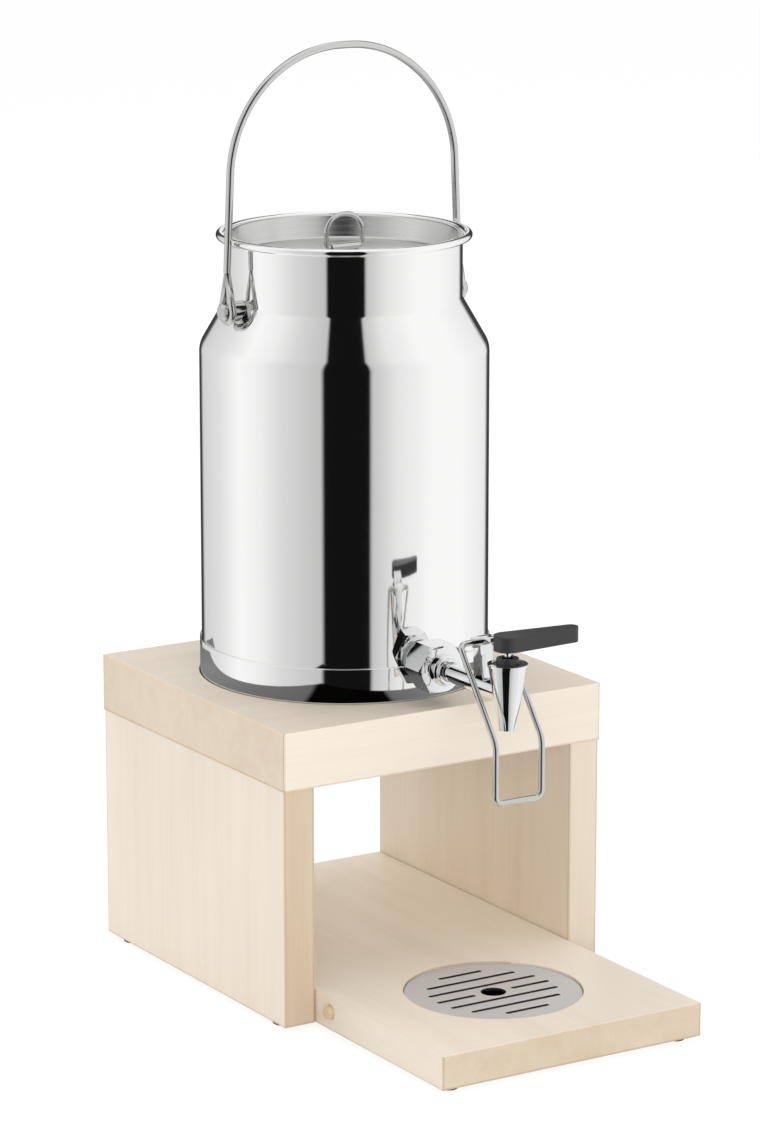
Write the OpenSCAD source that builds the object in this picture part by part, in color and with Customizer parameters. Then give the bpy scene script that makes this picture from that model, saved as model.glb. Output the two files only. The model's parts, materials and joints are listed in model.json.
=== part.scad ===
// Milk dispenser: a steel milk can with a push tap on a wooden bridge with a pull-out drip board.
// The front is -Y, the tap points to the front, and z = 0 is the surface that the feet stand on.

/* [Bridge] */
// Width of the top plate
plate_w = 220; // [212:1:260]
// Depth of the top plate
plate_d = 218; // [204:1:260]
// Thickness of the top plate
plate_t = 35; // [26:1:45]
// Height of the side panels
panel_h = 143; // [120:1:200]
// Thickness of the side panels
panel_t = 20; // [16:1:24]
// Step of the panels behind the front and back of the plate
panel_setback = 1; // [0:0.5:4]
// Step of the panels inside the sides of the plate
panel_inset = 0.5; // [0:0.5:2]
// Diameter of the hidden dowels between plate and panels
dowel_d = 8; // [6:1:10]
// Length of the hidden dowels
dowel_len = 40; // [24:1:48]
// Dowels in each panel
dowel_count = 3; // [2:1:5]
// Distance of the end dowels from the ends of a panel
dowel_inset = 30; // [15:1:50]
// Depth of the round pocket that the can stands in
pocket_depth = 8; // [4:1:14]
// Distance from the front of the plate to the axis of the can
can_setback = 113; // [100:1:118]

/* [Drip board] */
// Thickness of the drip board
board_t = 20; // [17:1:26]
// Reach of the drip board in front of the plate
board_out = 137; // [115:1:180]
// Gap between the drip board and each panel
board_gap = 0.8; // [0.6:0.1:2.5]
// Distance of the drip well in front of the plate
well_out = 53; // [40:1:80]
// Diameter of the drip well
well_d = 105.6; // [90:0.1:120]
// Depth of the drip well
well_depth = 14; // [10:0.5:16]
// Depth of the grid below the top of the board
grid_sink = 1.5; // [0.5:0.1:3]
// Thickness of the drip grid
grid_t = 1.5; // [1:0.1:2.5]
// Wall of the drip tray
tray_wall = 0.8; // [0.6:0.1:1.5]
// Rows of slots in the grid, an odd count
slot_rows = 7; // [3:2:7]
// Distance between the rows of slots
slot_pitch = 12; // [8:0.5:12]
// Width of a slot
slot_w = 3; // [2:0.1:4]
// Diameter of the circle that the slots end on
slot_field_d = 78; // [76:1:84]
// Diameter of the finger hole in the grid
finger_d = 15; // [12:0.5:20]
// Width of the metal left between the finger hole and a slot
finger_land = 5; // [3:0.5:8]
// Diameter of the wooden stop pegs
peg_d = 8; // [6:0.5:10]
// Length of a stop peg outside the board
peg_proud = 3; // [2:0.5:6]
// Length of a stop peg inside the board
peg_depth = 14; // [8:1:20]
// Distance of the stop pegs in front of the panels
peg_lead = 16.5; // [10:0.5:30]

/* [Feet] */
// Height of the feet
foot_h = 3; // [2:0.5:8]
// Diameter of the panels' feet
foot_d = 15; // [8:0.5:16]
// Distance of the panels' feet from the ends of a panel
foot_inset = 17; // [10:1:40]
// Diameter of the board's feet
board_foot_d = 11; // [8:0.5:16]
// Distance of the board's feet from its edges
board_foot_inset = 10.5; // [9:0.5:40]

/* [Can] */
// Outer diameter of the can
can_d = 173.4; // [168:0.1:178]
// Sheet thickness of the can
can_wall = 1; // [0.8:0.1:1.5]
// Height from the foot of the can to the shoulder
body_h = 208; // [150:1:260]
// Height of the shoulder
shoulder_h = 28; // [22:1:36]
// Height from the shoulder to the top of the rim
neck_h = 40; // [34:1:60]
// Outer diameter of the neck
neck_d = 141; // [134:0.5:146]
// Outer diameter of the rolled rim
rim_d = 152.6; // [150:0.1:158]
// Diameter of the rolled bead on the rim
bead_d = 4.6; // [3:0.1:5]
// Height of the base ring
skirt_h = 29; // [20:0.5:30]
// Sheet thickness of the base ring
skirt_wall = 1; // [0.8:0.1:1.5]
// Height of the floor of the can above its foot
floor_h = 11; // [6:1:14]

/* [Lid] */
// Sheet thickness of the lid
lid_t = 1; // [0.8:0.1:1.5]
// Depth of the lid's dish below the rim
dish_depth = 15; // [10:0.5:20]
// Draw of the dish's wall between top and bottom
dish_draw = 4; // [2:0.5:8]
// Diameter of the raised disc in the lid
disc_d = 82; // [60:1:100]
// Height of the raised disc
disc_rise = 2; // [1:0.5:4]
// Length of the strap that holds the loop
strap_l = 36; // [30:1:50]
// Width of the strap
strap_w = 13; // [10:1:18]
// Length of the strap's rolled knuckle
knuckle_l = 18.5; // [12:0.5:18.5]
// Diameter of the knuckle
knuckle_d = 5; // [4.4:0.1:6]
// Wire of the lid's loop
loop_wire = 3; // [2:0.1:3.2]
// Width of the loop between wire centres
loop_w = 25; // [25:0.5:32]
// Height of the loop above its pivot
loop_h = 19.5; // [18:0.5:30]

/* [Bail] */
// Wire of the bail handle
bail_wire = 4.5; // [3.5:0.1:5.5]
// Height of the bail above the rim
bail_rise = 112; // [100:1:130]
// Lean of the bail's legs in degrees
bail_splay = 2.5; // [1:0.5:4]
// Clearance of the bail's legs outside the rim
bail_clear = 0.8; // [0.5:0.1:2]
// Depth of the bail's pivots below the rim
ear_drop = 42; // [36:0.5:43]
// Diameter of the ear studs
stud_d = 7; // [6:0.5:11]
// Diameter of the ear pads
pad_d = 12; // [10:0.5:18]
// Diameter of the ear heads
ear_head_d = 10.5; // [9.5:0.5:16]
// Thickness of the ear heads
ear_head_t = 2.5; // [2:0.5:5]
// Height of the bail's eye above its pivot
eye_h = 23; // [18:0.5:26]

/* [Tap] */
// Height of the tap's axis above the foot of the can
tap_h = 31; // [29:0.5:60]
// Distance from the can to the axis of the spout
tap_reach = 92; // [80:1:130]
// Diameter of the tap's shank
shank_d = 11.5; // [10:0.1:13]
// Bore of the shank
shank_bore = 7; // [5:0.1:8]
// Diameter of the spout's cup at the top
cup_top_d = 22.2; // [21.5:0.1:26]
// Diameter of the spout at its outlet
cup_end_d = 10.6; // [10:0.1:13]
// Height of the cup above the shank's axis
cup_up = 18.5; // [16:0.5:20]
// Depth of the spout below the shank's axis
cup_down = 20.5; // [18:0.5:30]
// Width of the lip round the cup
lip_w = 0.6; // [0.3:0.1:1.5]
// Bore of the outlet
outlet_d = 7.8; // [6:0.1:8]
// Bore of the valve chamber
chamber_d = 12.4; // [11.8:0.1:12.6]
// Bore of the valve seat
seat_d = 6.4; // [5.6:0.1:6.8]
// Thickness of the seals on the can wall
seal_t = 2; // [1:0.1:3]
// Diameter of the seals on the can wall
seal_d = 22; // [18:0.5:26]
// Diameter of the flange washer
washer_d = 25; // [20:0.5:28]
// Thickness of the flange washer
washer_t = 4; // [2:0.5:6]
// Width across the flats of the outer nut
nut_flats = 28; // [22:0.5:30]
// Length of the outer nut
nut_l = 17; // [10:0.5:20]
// Diameter of the collar
collar_d = 18.6; // [15:0.1:22]
// Length of the collar
collar_l = 9; // [5:0.5:14]
// Width across the flats of the nut inside the can
lock_flats = 22; // [18:0.5:26]
// Length of the nut inside the can
lock_l = 7; // [5:0.5:10]

/* [Valve] */
// Diameter of the part of the bonnet inside the cup
bonnet_d = 17.6; // [16:0.1:17.8]
// Length of the bonnet inside the cup
bonnet_in = 6.5; // [5:0.5:7]
// Diameter of the bonnet's collar above the cup
neck_ring_d = 13; // [11:0.1:14]
// Height of the bonnet's collar above the cup
neck_ring_h = 3.4; // [2.4:0.1:3.4]
// Diameter of the valve stem
stem_d = 4; // [3:0.1:4.2]
// Diameter of the stem's button
button_d = 6.4; // [5:0.1:8]
// Thickness of the stem's button
button_t = 1.6; // [1:0.1:2]
// Diameter of the poppet
poppet_d = 8.2; // [7.2:0.1:8.4]
// Thickness of the poppet
poppet_t = 3; // [2:0.1:4]
// Wire of the return spring
spring_wire = 0.9; // [0.6:0.1:1]
// Mean diameter of the return spring
spring_d = 8.4; // [8:0.1:9]
// Turns of the return spring
spring_turns = 5; // [4:1:5]

/* [Lever] */
// Distance of the lever's pivot behind the spout's axis
rod_back = 26.4; // [24:0.1:32]
// Height of the lever's pivot above the shank's axis
rod_up = 26; // [24:0.1:28]
// Height of the lever above the cup
hub_rise = 7.8; // [7.8:0.1:9]
// Diameter of the lever's round hub
hub_d = 16.4; // [15:0.1:17]
// Distance from the spout's axis to the centre of the lever's tip
lever_len = 42.5; // [30:0.5:55]
// Turn of the lever in front of the line across the dispenser, in degrees
lever_lead = 2; // [0:1:20]
// Thickness of the lever
hub_h = 9; // [8:0.1:10]
// Radius of the lever's tip
tip_r = 4.4; // [3:0.1:6]
// Wire of the cup frame
frame_wire = 3.6; // [2.8:0.1:3.8]
// Width of the cup frame between wire centres
frame_w = 31.5; // [30:0.5:40]
// Distance of the frame's lower part in front of the spout's axis
frame_out = 12.3; // [6:0.1:20]
// Depth of the frame's knee below the shank's axis
knee_down = 25.3; // [15:0.1:30]
// Depth of the frame's lower bar below the shank's axis
bar_down = 60; // [45:0.5:64]

/* [Clearances] */
// Gap between pieces that are fastened together
fit_gap = 0.1; // [0.05:0.01:0.15]
// Gap between pieces that move past each other
run_gap = 0.3; // [0.2:0.05:0.5]
// Radial gap of a pin in its bore
pin_gap = 0.05; // [0.02:0.01:0.08]
// Radial gap of the can in its pocket and of the tray and grid in the well
lift_gap = 0.6; // [0.3:0.1:1]

/* [Hidden] */
$fn = 96;

maple = "#E9DCC8";
peg_wood = "#DCC8A8";
steel = "#C9CBCD";
black = "#2E2D31";
seal_grey = "#B9BDC0";

// Places along Y and Z of the bridge and the board
depth = plate_d + board_out;
board_y = -depth / 2;
plate_y = board_y + board_out;
back_y = depth / 2;
panel_y = plate_y + panel_setback;
panel_d = plate_d - 2 * panel_setback;
panel_x = plate_w / 2 - panel_inset - panel_t / 2;
plate_z = foot_h + panel_h;
top_z = plate_z + plate_t;
board_w = 2 * (panel_x - panel_t / 2 - board_gap);
board_d = back_y - panel_setback - board_y;
board_top = foot_h + board_t;
well_y = plate_y - well_out;
well_z = board_top - well_depth;
grid_z = board_top - grid_sink - grid_t;
loose_r = well_d / 2 - lift_gap;

// Places of the can
can_y = plate_y + can_setback;
can_z = top_z - pocket_depth;
can_r = can_d / 2;
neck_r = neck_d / 2;
rim_r = rim_d / 2;
skirt_r = can_r + fit_gap + skirt_wall;
shoulder_z = can_z + body_h;
neck_z = shoulder_z + shoulder_h;
rim_z = neck_z + neck_h;
ledge_z = rim_z - bead_d / 2;
floor_z = can_z + floor_h;
floor_bend = 6;
shoulder_bend = 16;
neck_bend = 4;
seam_z = shoulder_z - shoulder_bend;

// Places of the lid
lid_r = rim_r - bead_d - lift_gap;
dish_r = neck_r - can_wall - lift_gap;
disc_z = rim_z - dish_depth + disc_rise;
strap_t = 1;
loop_z = disc_z + strap_t + knuckle_d / 2 - strap_t / 2;
loop_bend = 3;

// Places of the bail and its ears
bail_r = bail_wire / 2;
leg_x = rim_r + bail_clear + bail_r;
eye_x = leg_x + (ear_drop - eye_h) * tan(bail_splay);
ear_z = rim_z - ear_drop;
eye_r = stud_d / 2 + run_gap + bail_r;
apex_z = rim_z + bail_rise - bail_r;
corner_x = leg_x - (apex_z - rim_z) * tan(bail_splay);
weld_d = bail_wire + 0.8;
top_flat = 6;

// Places of the tap, with the spout's axis at tap_y and the shank's axis at tap_z
tap_y = can_y - can_r - tap_reach;
tap_z = can_z + tap_h;
wall_y = can_y - can_r;
washer_y = wall_y - fit_gap - seal_t;
nut_y = washer_y - washer_t;
collar_y = nut_y - nut_l;
lock_y = wall_y + can_wall + fit_gap + seal_t;
thread_y = lock_y + lock_l + 2;
thread_r = shank_d / 2 + fit_gap;
lip_t = 1.4;
seat_top = -4;
seat_t = 3;
bonnet_z = cup_up - bonnet_in;
button_room = 2.2;
spring_seat = 7;
collar_t = 1.5;
groove_d = 7.8;
groove_h = 1.9;

// Places of the lever and the valve, relative to the spout's and the shank's axes
hub_z = cup_up + hub_rise;
hub_mid = hub_z + hub_h / 2;
hub_back = hub_d / 2;
lug_w = 8;
lug_r = 3.6;
cheek_t = 2;
cheek_r = 3.3;
heel_w = lug_w + 2 * (run_gap + cheek_t);
tongue_w = 6;
tongue_h = 4;
tongue_in = 12;
pin_d = 3;
pin_y = 5.4;
pin_recess = 0.5;
pin_top = hub_mid + tongue_h / 2 + 1;
rod_r = frame_wire / 2;
poppet_top = seat_top - seat_t - run_gap;
stem_end = poppet_top - poppet_t - fit_gap;
button_top = hub_z - run_gap;
frame_bend = 4.5;
knee_bend = 14;

// Joints of bent wires: a hidden gap inside a weld that stands a hair proud
joint_gap = 0.1;
joint_weld = 0.1;
// Step between the sides of a round-ended bar and its ends
bar_sink = 0.02;

// A unit vector
function unit(v) = v / norm(v);

// A frame at o with its z axis along z and its x axis along x
function frame(o, x, z) = let (y = cross(z, x)) [
    [x.x, y.x, z.x, o.x],
    [x.y, y.y, z.y, o.y],
    [x.z, y.z, z.z, o.z],
    [0, 0, 0, 1]
];

// A direction square to v
function across(v) = unit(cross(abs(v.z) < 0.9 ? [0, 0, 1] : [1, 0, 0], v));

// Length that a bend of radius r takes from each leg at corner i of a closed or an open path
function bend_take(p, r, i) = r[i] == 0 ? 0 :
    let (n = len(p))
    r[i] * tan(acos(unit(p[i] - p[(i + n - 1) % n]) * unit(p[(i + 1) % n] - p[i])) / 2);

// Points of a flat outline whose corners are rounded by the radii in r
function soft(p, r, steps = 8) = [
    for (i = [0 : len(p) - 1])
        if (i == 0 || i == len(p) - 1 || r[i] == 0) p[i]
        else
            let (
                u = unit(p[i] - p[i - 1]),
                v = unit(p[i + 1] - p[i]),
                turn = acos(u * v),
                side = sign(u.x * v.y - u.y * v.x),
                start = p[i] - u * r[i] * tan(turn / 2),
                inward = side * [-u.y, u.x]
            )
            each [for (k = [0 : steps]) let (a = turn * k / steps)
                start + r[i] * (sin(a) * u + (1 - cos(a)) * inward)]
];

function reversed(p) = [for (i = [len(p) - 1 : -1 : 0]) p[i]];

// A round bar from p to q
module bar(p, q, d) {
    along = unit(q - p);
    multmatrix(frame(p, across(along), along)) cylinder(h = norm(q - p), d = d);
}

// The weld of a wire's joint, turned so that its poles lie off the wire
module weld(p, d) {
    translate(p) rotate([0, 55, 45]) sphere(d = d + joint_weld);
}

// A wire along the points p, bent at each point by its radius in r, with a thin weld at each joint
module wire(p, r, d, closed = false) {
    n = len(p);
    for (i = [0 : closed ? n - 1 : n - 2]) {
        j = (i + 1) % n;
        u = unit(p[j] - p[i]);
        a = p[i] + u * bend_take(p, r, i);
        b = p[j] - u * bend_take(p, r, j);
        bar(a + u * joint_gap, b - u * joint_gap, d);
        if (r[i] > 0) weld(a, d);
        if (r[j] > 0) weld(b, d);
    }
    for (i = [0 : n - 1]) if (r[i] > 0) {
        u = unit(p[i] - p[(i + n - 1) % n]);
        v = unit(p[(i + 1) % n] - p[i]);
        axis = unit(cross(u, v));
        inward = cross(axis, u);
        centre = p[i] - u * bend_take(p, r, i) + inward * r[i];
        cut = asin(joint_gap / r[i]);
        multmatrix(frame(centre, -inward, axis)) rotate([0, 0, cut])
            rotate_extrude(angle = acos(u * v) - 2 * cut) translate([r[i], 0]) circle(d = d);
    }
}

// A bar of height h with round ends of radius a at p and b at q
module round_bar(p, a, q, b, h) {
    along = unit(q - p);
    lean = asin((a - b) / norm(q - p));
    n1 = [-along.y, along.x] * cos(lean) + along * sin(lean);
    n2 = [along.y, -along.x] * cos(lean) + along * sin(lean);
    translate(p) cylinder(h = h, r = a);
    translate(q) cylinder(h = h, r = b);
    linear_extrude(h) polygon([
        p + (a - bar_sink) * n1, q + (b - bar_sink) * n1, q + (b - bar_sink) * n2, p + (a - bar_sink) * n2
    ]);
}

// Turns a bar of height h so that its x runs to the back, its y up and its height across x = 0
module side_view(h) {
    rotate([90, 0, 90]) translate([0, 0, -h / 2]) children();
}

// Puts children at the crossing of the spout's and the shank's axes
module at_tap() {
    translate([0, tap_y, tap_z]) children();
}

// A round bar along Y from y, l long to the back
module along_y(y, l, d) {
    translate([0, y, tap_z]) rotate([-90, 0, 0]) cylinder(h = l, d = d);
}

// A nut along Y with chamfered corners
module nut(y, l, flats, bore_r) {
    corner_r = flats / 2 / cos(30);
    chamfer = corner_r - flats / 2;
    translate([0, y, tap_z]) rotate([-90, 0, 0]) difference() {
        intersection() {
            cylinder(h = l, r = corner_r, $fn = 6);
            rotate_extrude() polygon([
                [0, 0], [flats / 2, 0], [corner_r + fit_gap, chamfer * 0.6],
                [corner_r + fit_gap, l - chamfer * 0.6], [flats / 2, l], [0, l]
            ]);
        }
        translate([0, 0, -1]) cylinder(h = l + 2, r = bore_r);
    }
}

// The solid inside the can's outer face, grown by g
module can_solid(g) {
    translate([0, can_y, 0]) rotate_extrude() polygon(concat(
        soft([[0, floor_z - g], [can_r + g, floor_z - g], [can_r + g, shoulder_z],
              [neck_r + g, neck_z], [neck_r + g, ledge_z]],
             [0, floor_bend, shoulder_bend, neck_bend, 0]),
        [[0, ledge_z]]
    ));
}

// Places of the dowels, seen from above, for one panel
function dowel_ys() = [
    for (i = [0 : dowel_count - 1])
        panel_y + dowel_inset + i * (panel_d - 2 * dowel_inset) / (dowel_count - 1)
];

module dowels_of(d, l) {
    for (x = [-panel_x, panel_x], y = dowel_ys())
        translate([x, y, plate_z - l / 2]) cylinder(h = l, d = d);
}

// Holes for the dowels, with room at their ends
module dowel_holes() {
    dowels_of(dowel_d + 2 * fit_gap, dowel_len + 2);
}

module top_plate() {
    color(maple) difference() {
        translate([-plate_w / 2, plate_y, plate_z]) cube([plate_w, plate_d, plate_t]);
        translate([0, can_y, can_z]) cylinder(h = pocket_depth + 1, r = skirt_r + lift_gap);
        dowel_holes();
    }
}

module panel(side) {
    color(maple) difference() {
        translate([side * panel_x - panel_t / 2, panel_y, foot_h]) cube([panel_t, panel_d, panel_h]);
        dowel_holes();
    }
}

module left_panel() { panel(-1); }

module right_panel() { panel(1); }

module panel_dowels() {
    color(peg_wood) dowels_of(dowel_d, dowel_len);
}

module foot(x, y, d) {
    translate([x, y, 0]) cylinder(h = foot_h, d = d);
}

module panel_feet() {
    color(black)
        for (x = [-panel_x, panel_x], y = [panel_y + foot_inset, panel_y + panel_d - foot_inset])
            foot(x, y, foot_d);
}

module board_feet() {
    color(black)
        for (x = [-1, 1], y = [board_y + board_foot_inset, board_y + board_d - board_foot_inset])
            foot(x * (board_w / 2 - board_foot_inset), y, board_foot_d);
}

// The two stop pegs, one in each side of the board
module pegs(d, l) {
    for (side = [-1, 1])
        translate([side * (board_w / 2 - peg_depth), panel_y - peg_lead, foot_h + board_t * 0.55])
            rotate([0, side * 90, 0]) cylinder(h = l, d = d);
}

module drip_board() {
    color(maple) difference() {
        translate([-board_w / 2, board_y, foot_h]) cube([board_w, board_d, board_t]);
        translate([0, well_y, well_z]) cylinder(h = well_depth + 1, d = well_d);
        pegs(peg_d + 2 * fit_gap, peg_depth + 1);
    }
}

module stop_pegs() {
    color(peg_wood) pegs(peg_d, peg_depth + peg_proud);
}

module drip_tray() {
    color(steel) translate([0, well_y, well_z]) difference() {
        cylinder(h = grid_z - well_z, r = loose_r);
        translate([0, 0, tray_wall]) cylinder(h = well_depth, r = loose_r - tray_wall);
    }
}

// A slot from x = a to x = b in row y of the grid
module slot(a, b, y) {
    translate([0, 0, -1])
        round_bar([a + slot_w / 2, y], slot_w / 2, [b - slot_w / 2, y], slot_w / 2, grid_t + 2);
}

module drip_grid() {
    color(steel) translate([0, well_y, grid_z]) difference() {
        cylinder(h = grid_t, r = loose_r);
        translate([0, 0, -1]) cylinder(h = grid_t + 2, d = finger_d);
        for (i = [-(slot_rows - 1) / 2 : (slot_rows - 1) / 2]) {
            half = sqrt(pow(slot_field_d / 2, 2) - pow(i * slot_pitch, 2));
            if (i == 0) {
                slot(-half, -finger_d / 2 - finger_land, 0);
                slot(finger_d / 2 + finger_land, half, 0);
            } else {
                slot(-half, half, i * slot_pitch);
            }
        }
    }
}

// The hole for the tap through the can's wall and base ring
module tap_hole() {
    along_y(wall_y - 6, 16, shank_d + 4 * fit_gap);
}

// The floor and the straight wall, up to the seam under the shoulder
module can_body() {
    bends = [0, floor_bend, 0];
    w = can_wall;
    color(steel) difference() {
        translate([0, can_y, 0]) rotate_extrude() polygon(concat(
            soft([[0, floor_z], [can_r, floor_z], [can_r, seam_z]], bends),
            reversed(soft([[0, floor_z + w], [can_r - w, floor_z + w], [can_r - w, seam_z]], bends))
        ));
        tap_hole();
    }
}

// The shoulder, the neck and the rolled rim, welded on the body and polished over
module can_neck() {
    bends = [0, shoulder_bend, neck_bend, 0];
    w = can_wall;
    color(steel) translate([0, can_y, 0]) rotate_extrude() {
        polygon(concat(
            soft([[can_r, seam_z], [can_r, shoulder_z], [neck_r, neck_z], [neck_r, ledge_z]], bends),
            reversed(soft([[can_r - w, seam_z], [can_r - w, shoulder_z], [neck_r - w, neck_z],
                           [neck_r - w, ledge_z]], bends))
        ));
        translate([neck_r - w, ledge_z - w]) square([rim_r - bead_d / 2 - neck_r + w, w]);
        translate([rim_r - bead_d / 2, rim_z - bead_d / 2]) circle(d = bead_d);
    }
}

module can_skirt() {
    color(steel) difference() {
        translate([0, can_y, can_z]) cylinder(h = skirt_h, r = skirt_r);
        translate([0, can_y, can_z - 1]) cylinder(h = skirt_h + 2, r = can_r + fit_gap);
        tap_hole();
    }
}

// The right ear: a pad on the neck, a stud for the bail's eye and a head
module ear() {
    inner_x = neck_r - 6;
    pad_x = eye_x - bail_r - run_gap;
    head_x = eye_x + bail_r + run_gap;
    color(steel) difference() {
        translate([0, can_y, ear_z]) rotate([0, 90, 0]) rotate_extrude() polygon([
            [0, inner_x], [pad_d / 2, inner_x], [pad_d / 2, pad_x], [stud_d / 2, pad_x],
            [stud_d / 2, head_x], [ear_head_d / 2, head_x], [ear_head_d / 2, head_x + ear_head_t / 2],
            [ear_head_d / 2 - ear_head_t / 2, head_x + ear_head_t], [0, head_x + ear_head_t]
        ]);
        can_solid(fit_gap);
    }
}

module right_ear() { ear(); }

module left_ear() { mirror([1, 0, 0]) ear(); }

// One eye of the bail: a drop-shaped ring round the stud, closed at its top by a weld
module bail_eye(side) {
    x = side * eye_x;
    half = acos(eye_r / eye_h);
    cut = asin(joint_gap / eye_r);
    tip = [x, can_y, ear_z + eye_h];
    for (s = [-1, 1]) {
        foot = [x, can_y + s * eye_r * sin(half), ear_z + eye_r * cos(half)];
        u = unit(tip - foot);
        bar(foot + u * joint_gap, tip - u * bail_r / 2, bail_wire);
        weld(foot, bail_wire);
    }
    translate([x, can_y, ear_z]) rotate([90, 0, 90])
        rotate([0, 0, 90 + half + cut]) rotate_extrude(angle = 360 - 2 * half - 2 * cut)
            translate([eye_r, 0]) circle(d = bail_wire);
    translate(tip) sphere(d = weld_d);
}

module bail_handle() {
    turn = 90 - bail_splay;
    bend = (corner_x - top_flat / 2) / tan(turn / 2);
    color(steel) {
        wire([[-eye_x, can_y, ear_z + eye_h], [-corner_x, can_y, apex_z],
              [corner_x, can_y, apex_z], [eye_x, can_y, ear_z + eye_h]],
             [0, bend, bend, 0], bail_wire);
        bail_eye(-1);
        bail_eye(1);
    }
}

module lid() {
    low_r = dish_r - dish_draw;
    low_z = rim_z - dish_depth;
    step_r = disc_d / 2 + disc_rise;
    color(steel) translate([0, can_y, 0]) rotate_extrude() polygon([
        [0, disc_z], [disc_d / 2, disc_z], [step_r, low_z], [low_r - lid_t, low_z],
        [dish_r - lid_t, ledge_z + lid_t], [lid_r, ledge_z + lid_t], [lid_r, ledge_z], [dish_r, ledge_z],
        [low_r, low_z - lid_t], [step_r - lid_t, low_z - lid_t], [disc_d / 2 - lid_t, disc_z - lid_t],
        [0, disc_z - lid_t]
    ]);
}

module loop_strap() {
    color(steel) translate([0, can_y, 0]) difference() {
        union() {
            translate([-strap_l / 2, -strap_w / 2, disc_z]) cube([strap_l, strap_w, strap_t]);
            translate([-knuckle_l / 2, 0, loop_z]) rotate([0, 90, 0]) cylinder(h = knuckle_l, d = knuckle_d);
        }
        translate([-strap_l, 0, loop_z]) rotate([0, 90, 0])
            cylinder(h = 2 * strap_l, r = loop_wire / 2 + pin_gap);
    }
}

module lid_loop() {
    x = loop_w / 2;
    top_bend = x - 1;
    color(steel) translate([0, can_y, loop_z])
        wire([[-x, 0, 0], [x, 0, 0], [x, 0, loop_h], [-x, 0, loop_h]],
             [loop_bend, loop_bend, top_bend, top_bend], loop_wire, closed = true);
}

// The tap's bores: valve chamber, seat, outlet, shank and lug
module tap_bores() {
    outlet_top = seat_top - seat_t;
    rotate_extrude() polygon([
        [0, cup_up + 1], [bonnet_d / 2 + fit_gap, cup_up + 1], [bonnet_d / 2 + fit_gap, bonnet_z],
        [chamber_d / 2, bonnet_z], [chamber_d / 2, seat_top], [seat_d / 2, seat_top],
        [seat_d / 2, outlet_top], [poppet_d / 2 + 1.2, outlet_top], [outlet_d / 2, -cup_down],
        [outlet_d / 2, -cup_down - 1], [0, -cup_down - 1]
    ]);
    rotate([-90, 0, 0]) cylinder(h = thread_y - tap_y + 1, d = shank_bore);
    translate([-lug_w, rod_back, rod_up]) rotate([0, 90, 0]) cylinder(h = 2 * lug_w, r = rod_r + pin_gap);
}

module tap_body() {
    color(steel) at_tap() difference() {
        union() {
            rotate_extrude() polygon([
                [0, cup_up], [cup_top_d / 2 + lip_w, cup_up], [cup_top_d / 2 + lip_w, cup_up - lip_t],
                [cup_top_d / 2, cup_up - lip_t], [cup_end_d / 2, -cup_down], [0, -cup_down]
            ]);
            rotate([-90, 0, 0]) cylinder(h = thread_y - tap_y, d = shank_d);
            side_view(lug_w) round_bar([rod_back, rod_up], lug_r, [rod_back - 2, 0], lug_r + 1.4, lug_w);
        }
        tap_bores();
    }
}

// The soft saddle washers on the outside and the inside of the can's wall
module outer_seal() {
    color(seal_grey) difference() {
        along_y(wall_y - fit_gap - seal_t, seal_t + 4, seal_d);
        along_y(wall_y - 10, 20, 2 * thread_r);
        can_solid(fit_gap, $fn = 720);
        translate([0, can_y, can_z - 1])
            cylinder(h = skirt_h + 1 + fit_gap, r = skirt_r + fit_gap, $fn = 720);
    }
}

module inner_seal() {
    color(seal_grey) difference() {
        intersection() {
            along_y(lock_y - seal_t - 4, seal_t + 4, seal_d);
            translate([0, can_y, can_z]) cylinder(h = body_h, r = can_r - can_wall - fit_gap, $fn = 720);
        }
        along_y(wall_y - 10, 30, 2 * thread_r);
    }
}

module flange_washer() {
    color(steel) translate([0, washer_y - washer_t, tap_z]) rotate([-90, 0, 0]) rotate_extrude() polygon([
        [thread_r, 0], [washer_d / 2 - washer_t / 2, 0], [washer_d / 2, washer_t / 2],
        [washer_d / 2, washer_t], [thread_r, washer_t]
    ]);
}

module hex_nut() {
    color(steel) nut(nut_y - nut_l, nut_l, nut_flats, thread_r);
}

module shank_collar() {
    step = 1.5;
    color(steel) translate([0, collar_y - collar_l, tap_z]) rotate([-90, 0, 0]) rotate_extrude() polygon([
        [thread_r, 0], [collar_d / 2 - step, 0], [collar_d / 2 - step, collar_l / 3],
        [collar_d / 2, collar_l / 3 + step / 2], [collar_d / 2, collar_l], [thread_r, collar_l]
    ]);
}

module lock_nut() {
    color(steel) nut(lock_y, lock_l, lock_flats, thread_r);
}

// The black plug of the cup, with a collar that the stem's button sinks into
module bonnet() {
    color(black) at_tap() translate([0, 0, bonnet_z]) difference() {
        union() {
            cylinder(h = bonnet_in, d = bonnet_d);
            cylinder(h = bonnet_in + neck_ring_h, d = neck_ring_d);
        }
        translate([0, 0, -1]) cylinder(h = bonnet_in + neck_ring_h + 2, r = stem_d / 2 + pin_gap);
        translate([0, 0, -1]) cylinder(h = groove_h + 1, d = groove_d);
        translate([0, 0, bonnet_in + neck_ring_h - button_room])
            cylinder(h = button_room + 1, r = button_d / 2 + run_gap);
    }
}

module stem_seal() {
    r = (groove_d - stem_d) / 4 - pin_gap;
    color(seal_grey) at_tap() translate([0, 0, bonnet_z + r]) rotate_extrude()
        translate([stem_d / 2 + pin_gap + r, 0]) circle(r);
}

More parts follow.
